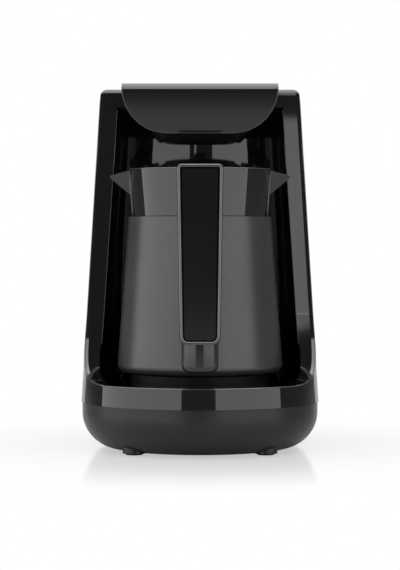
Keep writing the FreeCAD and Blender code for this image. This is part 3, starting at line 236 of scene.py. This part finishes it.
lip_radius = casing_half_width(mouth_lip) - mouth_inset
lip_line = []
for angle in range(-lip_half_angle, lip_half_angle + 1):
    a = math.radians(angle)
    lip_line.append(Vector((math.sin(a) * lip_radius, casing_front_centre - math.cos(a) * lip_radius,
                            mouth_lip - mouth_inset)))
sweep_line = []
for angle in range(0, 91, 3):
    depth = -mouth_sweep + mouth_sweep * math.sin(math.radians(angle))
    sweep_line.append(casing_edge(depth, mouth_height(depth)))
column_line = [casing_edge(0.0, height) for height in column_heights]
right_line = sweep_line + column_line
left_line = [Vector((-x, y, z)) for x, y, z in reversed(right_line)]
# The mouth's round takes the paler edge material, a painted highlight.
bead("mouth_edge", left_line + lip_line + right_line, mouth_round, edge_painted_highlight, "machine")

for side, name in ((-1, "nook_edge_left"), (1, "nook_edge_right")):
    inner_line = [Vector((side * (nook_half_width + (nook_level - height) * nook_draft),
                          nook_inset - sweep_forward(height), height)) for height in nook_heights]
    bead(name, inner_line, nook_round, polished_abs, "machine")


# Visor
# Bowed front of the head, moulded in black ABS and clipped to the head shell. The small round
# where its face meets its side is a bead, which runs from one upper corner round the two
# large lower corners to the other.

visor_half_width = 0.05
visor_low = 0.207
visor_corner = 0.029
visor_inset_share = 0.996
visor_edge_rise = 0.0002
visor_edge_sink = 0.0001
visor_edge_round = 0.00035


def met_from_front(name, x, z):
    """Where a line from the front at x and z first meets a CAD node, or None if it misses."""
    before_all = -0.2
    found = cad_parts[name].ray_cast(Vector((x, before_all, z)), Vector((0, 1, 0)))
    return found[1] if found[0] else None


# Satin ABS softens what it mirrors, and stays nearly black.
satin_abs = moulded("satin_abs", "#0a0a0b", "#0d0d0e", roughness=0.11, grain=0.0008,
                    depth=0.000002, spread=0.015)
coat(satin_abs, "visor")

right_outline = []
for angle in range(-90, 1, 6):
    a = math.radians(angle)
    right_outline.append((visor_half_width - visor_corner + math.cos(a) * visor_corner,
                          visor_low + visor_corner + math.sin(a) * visor_corner))
left_outline = [(-x, z) for x, z in reversed(right_outline)]
visor_line = []
for outline_x, outline_z in left_outline + right_outline:
    x = outline_x * visor_inset_share
    z = outline_z + visor_edge_rise
    where = met_from_front("visor", x, z)
    if where is not None:
        visor_line.append(Vector((x, where.y + visor_edge_sink, z)))
bead("visor_edge", visor_line, visor_edge_round, polished_abs, "machine")


# Sensor window and the circuit boards
# Dark infrared filter of tinted acrylic, pressed in the bowl's floor, with a small board
# over it. The key board and the control board are of the same green laminate.

# Tinted acrylic is a smooth, almost black red.
filter_acrylic = moulded("filter_acrylic", "#1a0c0c", "#220f0f", roughness=0.12, grain=0.004,
                         depth=0.000002, spread=0.02)
coat(filter_acrylic, "sensor_window")

# Rows of tracks 1.6 mm apart show faintly under the green lacquer. A row of the pattern is
# a quarter of its unit.
tracks_per_metre = 640
lacquered_laminate, tree, shader, place = new_finish("lacquered_laminate", 0.35)
tracks = add(tree, "ShaderNodeTexBrick",
             {"Scale": 0.25 * tracks_per_metre, "Color1": linear("#1d5a33"), "Color2": linear("#236b3d"),
              "Mortar": linear("#174a2a"), "Mortar Size": 0.03}, {"Vector": place})
tree.links.new(tracks.outputs["Color"], shader.inputs["Base Color"])
wear = add(tree, "ShaderNodeTexNoise", {"Scale": 1 / 0.004}, {"Vector": place}).outputs["Fac"]
shade(tree, shader, roughness=(wear, 0.3, 0.45), relief=(tracks.outputs["Fac"], 0.00003, 1.0))
coat(lacquered_laminate, "sensor_board", "key_board", "control_board")


# Light guides
# Clear acrylic pins that bring the light of the lamps up to the head's roof, pushed in from
# below. Drawn acrylic is glassy, with a faintly frosted end.

clear_acrylic, tree, shader, place = new_finish("clear_acrylic", 0.1, ior=1.49)
shader.inputs["Transmission Weight"].default_value = 0.85
tone, wear, marks = [add(tree, "ShaderNodeTexNoise", {"Scale": 1 / size},
                         {"Vector": place}).outputs["Fac"] for size in (0.002, 0.001, 0.0008)]
shade(tree, shader, (tone, "#d8dde0", "#e6eaec"), (wear, 0.06, 0.16), (marks, 0.00001, 1.0))
coat(clear_acrylic, "light_guides")


# Hotplate, with its seal
# Cast disc under a baked black coat, seated in the deck by a black silicone ring. Both are
# dull: neither mirrors the jug above it.

plate_coat = moulded("plate_coat", "#050505", "#080808", roughness=0.5, grain=0.0006,
                     depth=0.000006, specular=0.12)
coat(plate_coat, "hotplate")
silicone = moulded("silicone", "#0c0c0c", "#101010", roughness=0.6, grain=0.001,
                   depth=0.00002, specular=0.15)
coat(silicone, "hotplate_seal")


# Heater parts under the deck
# Sheathed ring, its strap of galvanised sheet, the fuse on the strap, the unglazed ceramic
# guide and the sprung aluminium sensor with its spring of drawn steel wire.

jug_axis_y = -0.015


def plain_metal(name, dark, pale, roughness, mark):
    """Bare metal with rolling or drawing marks of about mark metres."""
    material, tree, shader, place = new_finish(name, roughness, metallic=1.0)
    tone, wear, marks = [add(tree, "ShaderNodeTexNoise", {"Scale": 1 / size},
                             {"Vector": place}).outputs["Fac"] for size in (mark * 8, mark * 2, mark)]
    shade(tree, shader, (tone, dark, pale), (wear, roughness - 0.08, roughness + 0.08),
          (marks, 0.00001, 1.0))
    return material


# Steel that has been hot takes a straw-brown tint in patches.
tinted_steel = plain_metal("tinted_steel", "#6d6459", "#8a7c66", roughness=0.35, mark=0.001)
coat(tinted_steel, "heating_element")

# Galvanised sheet is broken up in grey spangles of about 6 mm.
galvanised_sheet, tree, shader, place = new_finish("galvanised_sheet", 0.42, metallic=1.0)
spangle = add(tree, "ShaderNodeTexVoronoi", {"Scale": 1 / 0.006}, {"Vector": place}).outputs["Distance"]
shade(tree, shader, (spangle, "#8d9092", "#a9acad"), (spangle, 0.34, 0.52), (spangle, 0.00001, 1.0))
coat(galvanised_sheet, "hotplate_bracket")

# Drawn aluminium is pale and softly bright, fired ceramic chalky, and spring wire brighter.
plain_aluminium = plain_metal("plain_aluminium", "#a6a7a8", "#bdbebe", roughness=0.3, mark=0.0008)
coat(plain_aluminium, "thermal_fuse", "temperature_sensor")
bare_ceramic = moulded("bare_ceramic", "#b9b2a4", "#c9c2b3", roughness=0.7, grain=0.0006, depth=0.00002)
coat(bare_ceramic, "sensor_housing")
spring_wire = plain_metal("spring_wire", "#9a9a99", "#b4b4b2", roughness=0.25, mark=0.0005)
coat(spring_wire, "sensor_spring")

# The spring is shown by its own copy, welded and smoothed.
spring_coil = bpy.data.objects.new("spring_coil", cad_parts["sensor_spring"].data.copy())
bpy.context.scene.collection.objects.link(spring_coil)
bpy.ops.object.select_all(action="DESELECT")
spring_coil.select_set(True)
bpy.context.view_layer.objects.active = spring_coil
bpy.ops.object.mode_set(mode="EDIT")
bpy.ops.mesh.select_all(action="SELECT")
bpy.ops.mesh.remove_doubles(threshold=0.00001)
bpy.ops.object.mode_set(mode="OBJECT")
bpy.ops.object.shade_smooth_by_angle(angle=math.radians(40))
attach(spring_coil, "machine")
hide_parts("sensor_spring")
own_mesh(spring_coil)


# Screws
# Zinc-plated steel screws that hold the pan, the boards, the strap and the handle. The
# plating is bright with a slight blue.

zinc_plate = plain_metal("zinc_plate", "#9a9ea3", "#b2b5b9", roughness=0.3, mark=0.0005)
coat(zinc_plate, "case_screws", "key_board_screws", "bracket_screws", "board_screws", "handle_screw")


# Jug, with its lug
# Drawn aluminium vessel under a dark grey lacquer, and a steel lug on its side that carries
# the handle's lower end. The lacquer is silky: lamps spread in it to wide soft bands.

silk_lacquer = moulded("silk_lacquer", "#28282a", "#2d2d2e", roughness=0.31, grain=0.0005,
                       depth=0.00002, spread=0.03, ior=1.53)
coat(silk_lacquer, "jug_vessel")

# Turned steel has fine rings round the jug's axis, 0.8 mm apart so that they show. The wave
# pattern repeats every 0.31 of its unit.
ring_pitch = 0.0008
wave_period = 0.31
spun_steel, tree, shader, place = new_finish("spun_steel", 0.3, metallic=1.0)
centred = add(tree, "ShaderNodeMapping", {"Location": (0, -jug_axis_y, 0)}, {"Vector": place})
rings = add(tree, "ShaderNodeTexWave",
            {"wave_type": "RINGS", "rings_direction": "Z", "Scale": wave_period / ring_pitch,
             "Distortion": 0.6, "Detail": 1.0}, {"Vector": centred.outputs["Vector"]}).outputs["Fac"]
tone = add(tree, "ShaderNodeTexNoise", {"Scale": 1 / 0.012}, {"Vector": place}).outputs["Fac"]
shade(tree, shader, (tone, "#8f8f8e", "#a5a5a3"), (rings, 0.22, 0.38), (rings, 0.00001, 0.6))
coat(spun_steel, "handle_lug")


# Handle
# Frame of glossy black ABS with a smooth dark inlay pressed in its front, clipped over the
# core. A round runs along the frame's rim, drawn paler than the frame as a painted highlight;
# a black bead round the inlay is painted shadow for the gap there; and the foot under the
# frame is a bowed bar with a rounded end, like the end of a spoon.

trim_front = -0.098
trim_top = 0.1864
trim_low = 0.0736
trim_top_half_width = 0.0145
trim_low_half_width = 0.01285
trim_lean = 0.003 / (trim_top - trim_low)
toe_half_width = 0.0106
toe_half_depth = 0.0065
toe_depth = -0.0875
toe_low = 0.0560
toe_high = 0.0735
toe_round = 0.004


def trim_ring(rim, foot_rim, top_round, foot_round, sink):
    """Closed line round the handle's front face, drawn in by its rims and sunk behind it."""
    low = trim_low + foot_rim
    top = trim_top - rim
    lower = trim_low_half_width - rim
    upper = trim_top_half_width - rim
    corners = [(lower, low, foot_round, -90), (upper, top, top_round, 0),
               (-upper, top, top_round, 90), (-lower, low, foot_round, 180)]
    line = []
    for x, z, turn, start in corners:
        centre_x = x - math.copysign(turn, x)
        centre_z = z + turn if start in (-90, 180) else z - turn
        for step in range(0, 91, 15):
            a = math.radians(start + step)
            ring_x = centre_x + math.cos(a) * turn
            ring_z = centre_z + math.sin(a) * turn
            line.append(Vector((ring_x, trim_front + (trim_top - ring_z) * trim_lean + sink, ring_z)))
    return line


# Glossy ABS shows lamps as clear shapes, a little softer than the casing's.
gloss_trim = moulded("gloss_trim", "#131314", "#171718", roughness=0.12, grain=0.004,
                     depth=0.000003, spread=0.03)
coat(gloss_trim, "handle_trim")
# The frame's rim takes the paler edge material, a painted highlight.
rim_ring = trim_ring(rim=0.0012, foot_rim=0.0010, top_round=0.0020, foot_round=0.0042, sink=0.0006)
bead("handle_rim", rim_ring, 0.0011, edge_painted_highlight, "jug", closed=True)

# Painted shadow: a black, dull bead without specular stands for the shade in the narrow gap
# round the inlay, and shows as a black line.
gap_painted_shadow = moulded("gap_painted_shadow", "#010101", "#030303", roughness=0.9, grain=0.001,
                    depth=0.00001, specular=0.0)
gap_ring = trim_ring(rim=0.0027, foot_rim=0.0024, top_round=0.0012, foot_round=0.0032, sink=0.0002)
bead("inlay_gap_painted_shadow", gap_ring, 0.0004, gap_painted_shadow, "jug", closed=True)

# The inlay is a smooth dark strip that stays blacker than its frame.
inlay_abs = moulded("inlay_abs", "#0a0a0b", "#0d0d0e", roughness=0.08, grain=0.0008,
                    depth=0.000002, spread=0.02)
coat(inlay_abs, "handle_insert")

bpy.ops.object.select_all(action="DESELECT")
bpy.ops.mesh.primitive_cylinder_add(vertices=96, radius=1.0, depth=1.0, location=(0, 0, 0))
toe = bpy.context.object
toe.name = "handle_toe"
toe.data.transform(Matrix.Translation((0, toe_depth, (toe_low + toe_high) / 2))
                   @ Matrix.Diagonal((toe_half_width, toe_half_depth, toe_high - toe_low, 1.0)))
bpy.ops.object.mode_set(mode="EDIT")
bpy.ops.mesh.select_all(action="DESELECT")
shape = bmesh.from_edit_mesh(toe.data)
for edge in shape.edges:
    edge.select = all(vert.co.z < (toe_low + toe_high) / 2 for vert in edge.verts)
bmesh.update_edit_mesh(toe.data)
bpy.ops.mesh.bevel(offset=toe_round, segments=8, affect="EDGES")
bpy.ops.object.mode_set(mode="OBJECT")
bpy.ops.object.shade_smooth_by_angle(angle=math.radians(30))
toe.data.materials.append(gloss_trim)
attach(toe, "jug")


# Rounded edges of the collar
# The jug's collar is one glossy moulding with a spout on each side. Its rim and the crease
# where each spout leaves it are small rounds, which catch the lamps; they are drawn paler than
# the collar, as a painted highlight.

collar_rim_radius = 0.0472
collar_rim_height = 0.1851
collar_rim_round = 0.0003
collar_rim_half_angle = 72
crease_low_x = 0.0440
crease_out = 0.0020
crease_low = 0.1546
crease_rise = 0.0294
crease_steps = 15
crease_round = 0.0006

rim_line = []
for angle in range(-collar_rim_half_angle, collar_rim_half_angle + 1, 3):
    a = math.radians(angle)
    rim_line.append(Vector((math.sin(a) * collar_rim_radius, jug_axis_y - math.cos(a) * collar_rim_radius,
                            collar_rim_height)))
# The rim and the creases take the paler edge material, a painted highlight.
bead("collar_rim", rim_line, collar_rim_round, edge_painted_highlight, "jug")
for side, name in ((-1, "collar_crease_left"), (1, "collar_crease_right")):
    crease = []
    for step in range(crease_steps + 1):
        x = side * (crease_low_x + crease_out * step / crease_steps)
        z = crease_low + crease_rise * step / crease_steps
        where = met_from_front("jug_collar", x, z)
        if where is not None:
            crease.append(Vector((x, where.y, z)))
    bead(name, crease, crease_round, edge_painted_highlight, "jug")


# Board parts and gland
# Transformer in taped winding, relay, capacitor, buzzer and terminals, soldered to the
# control board, and the cord's gland of black nylon, clipped in the rear wall.

# Varnished tape shows the turns of wire under it as ridges 1.2 mm apart.
turn_pitch = 0.0012
taped_winding, tree, shader, place = new_finish("taped_winding", 0.4)
turns = add(tree, "ShaderNodeTexWave", {"bands_direction": "Z", "Scale": wave_period / turn_pitch},
            {"Vector": place}).outputs["Fac"]
wear = add(tree, "ShaderNodeTexNoise", {"Scale": 1 / 0.002}, {"Vector": place}).outputs["Fac"]
shade(tree, shader, (turns, "#a58a2c", "#c4a845"), (wear, 0.3, 0.5), (turns, 0.00008, 1.0))
coat(taped_winding, "transformer")

# Filled nylon is a dull dark grey, shrunk sleeve a soft shiny blue, plain nylon pale and waxy.
moulded_case = moulded("moulded_case", "#232324", "#2b2b2c", roughness=0.45, grain=0.0006, depth=0.00002)
coat(moulded_case, "relay", "buzzer", "cord_gland")
shrunk_sleeve = moulded("shrunk_sleeve", "#1e2a4a", "#263356", roughness=0.3, grain=0.001, depth=0.00001)
coat(shrunk_sleeve, "filter_capacitor")
pale_nylon = moulded("pale_nylon", "#c5c4ba", "#d2d1c8", roughness=0.45, grain=0.0008, depth=0.00002)
coat(pale_nylon, "terminal_block")


# Studio floor and backdrop
# Pale gloss floor round the object that fades to plain white, and a white backdrop behind
# it, which shows to the camera and in mirror images and lights nothing else.

floor_size = 8.0
floor_real_to = 0.10
floor_white_from = 0.26
backdrop_width = 3.8
backdrop_height = 3.4
backdrop_place = (0, 3.0, 1.6)

# Lacquered paper holds a soft mirror image and the shadow near the object.
stage_paper, tree, shader, place = new_finish("stage_paper", 0.10)
shader.inputs["Base Color"].default_value = linear("#d2d2d2")
wear = add(tree, "ShaderNodeTexNoise", {"Scale": 1 / 0.05}, {"Vector": place}).outputs["Fac"]
shade(tree, shader, roughness=(wear, 0.09, 0.11))
reach = add(tree, "ShaderNodeVectorMath", {"operation": "LENGTH"}, {0: place})
fade = add(tree, "ShaderNodeMapRange",
           {"interpolation_type": "SMOOTHSTEP", "From Min": floor_real_to, "From Max": floor_white_from,
            "To Min": 0.5, "To Max": 1.0}, {"Value": reach.outputs["Value"]})
path = add(tree, "ShaderNodeLightPath")
share = add(tree, "ShaderNodeMath", {"operation": "MULTIPLY"},
            {0: path.outputs["Is Camera Ray"], 1: fade.outputs["Result"]})
white = add(tree, "ShaderNodeEmission", {"Strength": 1.0})
mixed = add(tree, "ShaderNodeMixShader",
            links={"Fac": share.outputs[0], 1: shader.outputs[0], 2: white.outputs[0]})
tree.links.new(mixed.outputs[0], tree.nodes["Material Output"].inputs["Surface"])

bpy.ops.object.select_all(action="DESELECT")
bpy.ops.mesh.primitive_plane_add(size=1.0, location=(0, 0, 0))
floor = bpy.context.object
floor.name = "stage_floor"
floor.data.transform(Matrix.Diagonal((floor_size, floor_size, 1.0, 1.0)))
floor.data.materials.append(stage_paper)

# The backdrop glows white to the camera and in mirror images, and is dark to all other rays.
backdrop_white = bpy.data.materials.new("backdrop_white")
backdrop_white.use_nodes = True
tree = backdrop_white.node_tree
path = add(tree, "ShaderNodeLightPath")
seen_or_mirrored = add(tree, "ShaderNodeMath", {"operation": "MAXIMUM"},
                       {0: path.outputs["Is Camera Ray"], 1: path.outputs["Is Glossy Ray"]})
shown = add(tree, "ShaderNodeMath", {"operation": "MAXIMUM"},
            {0: seen_or_mirrored.outputs[0], 1: path.outputs["Is Transmission Ray"]})
white = add(tree, "ShaderNodeEmission", links={"Strength": shown.outputs[0]})
tree.links.new(white.outputs[0], tree.nodes["Material Output"].inputs["Surface"])

bpy.ops.object.select_all(action="DESELECT")
bpy.ops.mesh.primitive_plane_add(size=1.0, location=(0, 0, 0))
backdrop = bpy.context.object
backdrop.name = "stage_backdrop"
backdrop.data.transform(Matrix.Translation(backdrop_place) @ Matrix.Rotation(math.radians(90), 4, "X")
                        @ Matrix.Diagonal((backdrop_width, backdrop_height, 1.0, 1.0)))
backdrop.data.materials.append(backdrop_white)


# Studio lamps
# Two large softboxes at the sides, two above, and two narrow strips in front whose mirror
# images make the grey line on the nook's right column. The camera sees none of them.

side_distance = 0.75
side_height = 0.43
side_panel_height = 0.86
left_angle = -61
right_angle = 47
strip_x = 0.1022
strip_y = -0.9
strip_turn = 2.54
strip_width = 0.0426


def lamp(name, place, tilt, turn, width, height, power):
    """A softbox at a place: tilt 90 faces the object level, 0 faces down; turn swings it."""
    light = bpy.data.lights.new(name, "AREA")
    light.shape = "RECTANGLE"
    light.size = width
    light.size_y = height
    light.energy = power
    holder = bpy.data.objects.new(name, light)
    bpy.context.scene.collection.objects.link(holder)
    holder.location = place
    holder.rotation_euler = (math.radians(tilt), 0, math.radians(turn))
    holder.visible_camera = False
    return holder


def beside(around):
    """A side lamp's place at an angle from the front, left negative."""
    turn = math.radians(around)
    return (math.sin(turn) * side_distance, -math.cos(turn) * side_distance, side_height)


lamp("lamp_left", beside(left_angle), 90, left_angle, width=1.45, height=side_panel_height, power=8.4)
lamp("lamp_right", beside(right_angle), 90, right_angle, width=0.97, height=side_panel_height, power=5.2)
above = lamp("lamp_top", (0, -0.1, 1.3), 0, 0, width=2.6, height=1.8, power=27)
strip_low = lamp("lamp_strip", (strip_x, strip_y, 0.1375), 90, strip_turn,
                 width=strip_width, height=0.265, power=0.0851)
strip_high = lamp("lamp_strip_high", (strip_x, strip_y, 0.90), 46.3, strip_turn,
                  width=strip_width, height=1.535, power=0.493)
# The crown lamp hangs lower than the large one, which hides any lamp in its own plane.
crown = lamp("lamp_crown", (0, -0.2, 1.2), 0, 0, width=1.2, height=1.6, power=16)

# The strips light the nook alone, the large lamp above is kept off the nook, and the crown
# lamp brightens the upper and rounded edges.
lit_by_strip = bpy.data.collections.new("lit_by_strip")
lit_by_strip.objects.link(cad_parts["nook_liner"])
strip_low.light_linking.receiver_collection = lit_by_strip
strip_high.light_linking.receiver_collection = lit_by_strip
kept_dark = bpy.data.collections.new("kept_dark")
kept_dark.objects.link(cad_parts["nook_liner"])
kept_dark.collection_objects[0].light_linking.link_state = "EXCLUDE"
above.light_linking.receiver_collection = kept_dark
lit_by_crown = bpy.data.collections.new("lit_by_crown")
for name in ("visor", "visor_edge", "head_shell", "outer_shell", "mouth_edge", "handle_trim",
             "handle_rim", "handle_core", "handle_toe", "jug_collar", "collar_rim",
             "collar_crease_left", "collar_crease_right"):
    lit_by_crown.objects.link(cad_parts.get(name) or bpy.data.objects[name])
crown.light_linking.receiver_collection = lit_by_crown


# Room and camera
# A room that the camera sees white and that gives the object only a weak fill, and a long
# lens in front at the height of the jug, tilted down a little.

room_fill = 0.12
camera_distance = 1.4
camera_height = 0.142
camera_tilt = 1.364
camera_lens = 132.6
camera_sensor = 36.0

world = bpy.data.worlds.new("studio")
bpy.context.scene.world = world
world.use_nodes = True
room = world.node_tree.nodes["Background"]
room.inputs["Color"].default_value = (1, 1, 1, 1)
path = add(world.node_tree, "ShaderNodeLightPath")
seen = add(world.node_tree, "ShaderNodeMapRange", {"To Min": room_fill, "To Max": 1.0},
           {"Value": path.outputs["Is Camera Ray"]})
world.node_tree.links.new(seen.outputs["Result"], room.inputs["Strength"])

eye = bpy.data.cameras.new("camera")
eye.lens = camera_lens
eye.sensor_width = camera_sensor
camera = bpy.data.objects.new("camera", eye)
bpy.context.scene.collection.objects.link(camera)
camera.location = (0, -camera_distance, camera_height)
camera.rotation_euler = (math.radians(90 - camera_tilt), 0, 0)
bpy.context.scene.camera = camera
bpy.context.scene.view_settings.view_transform = "Standard"
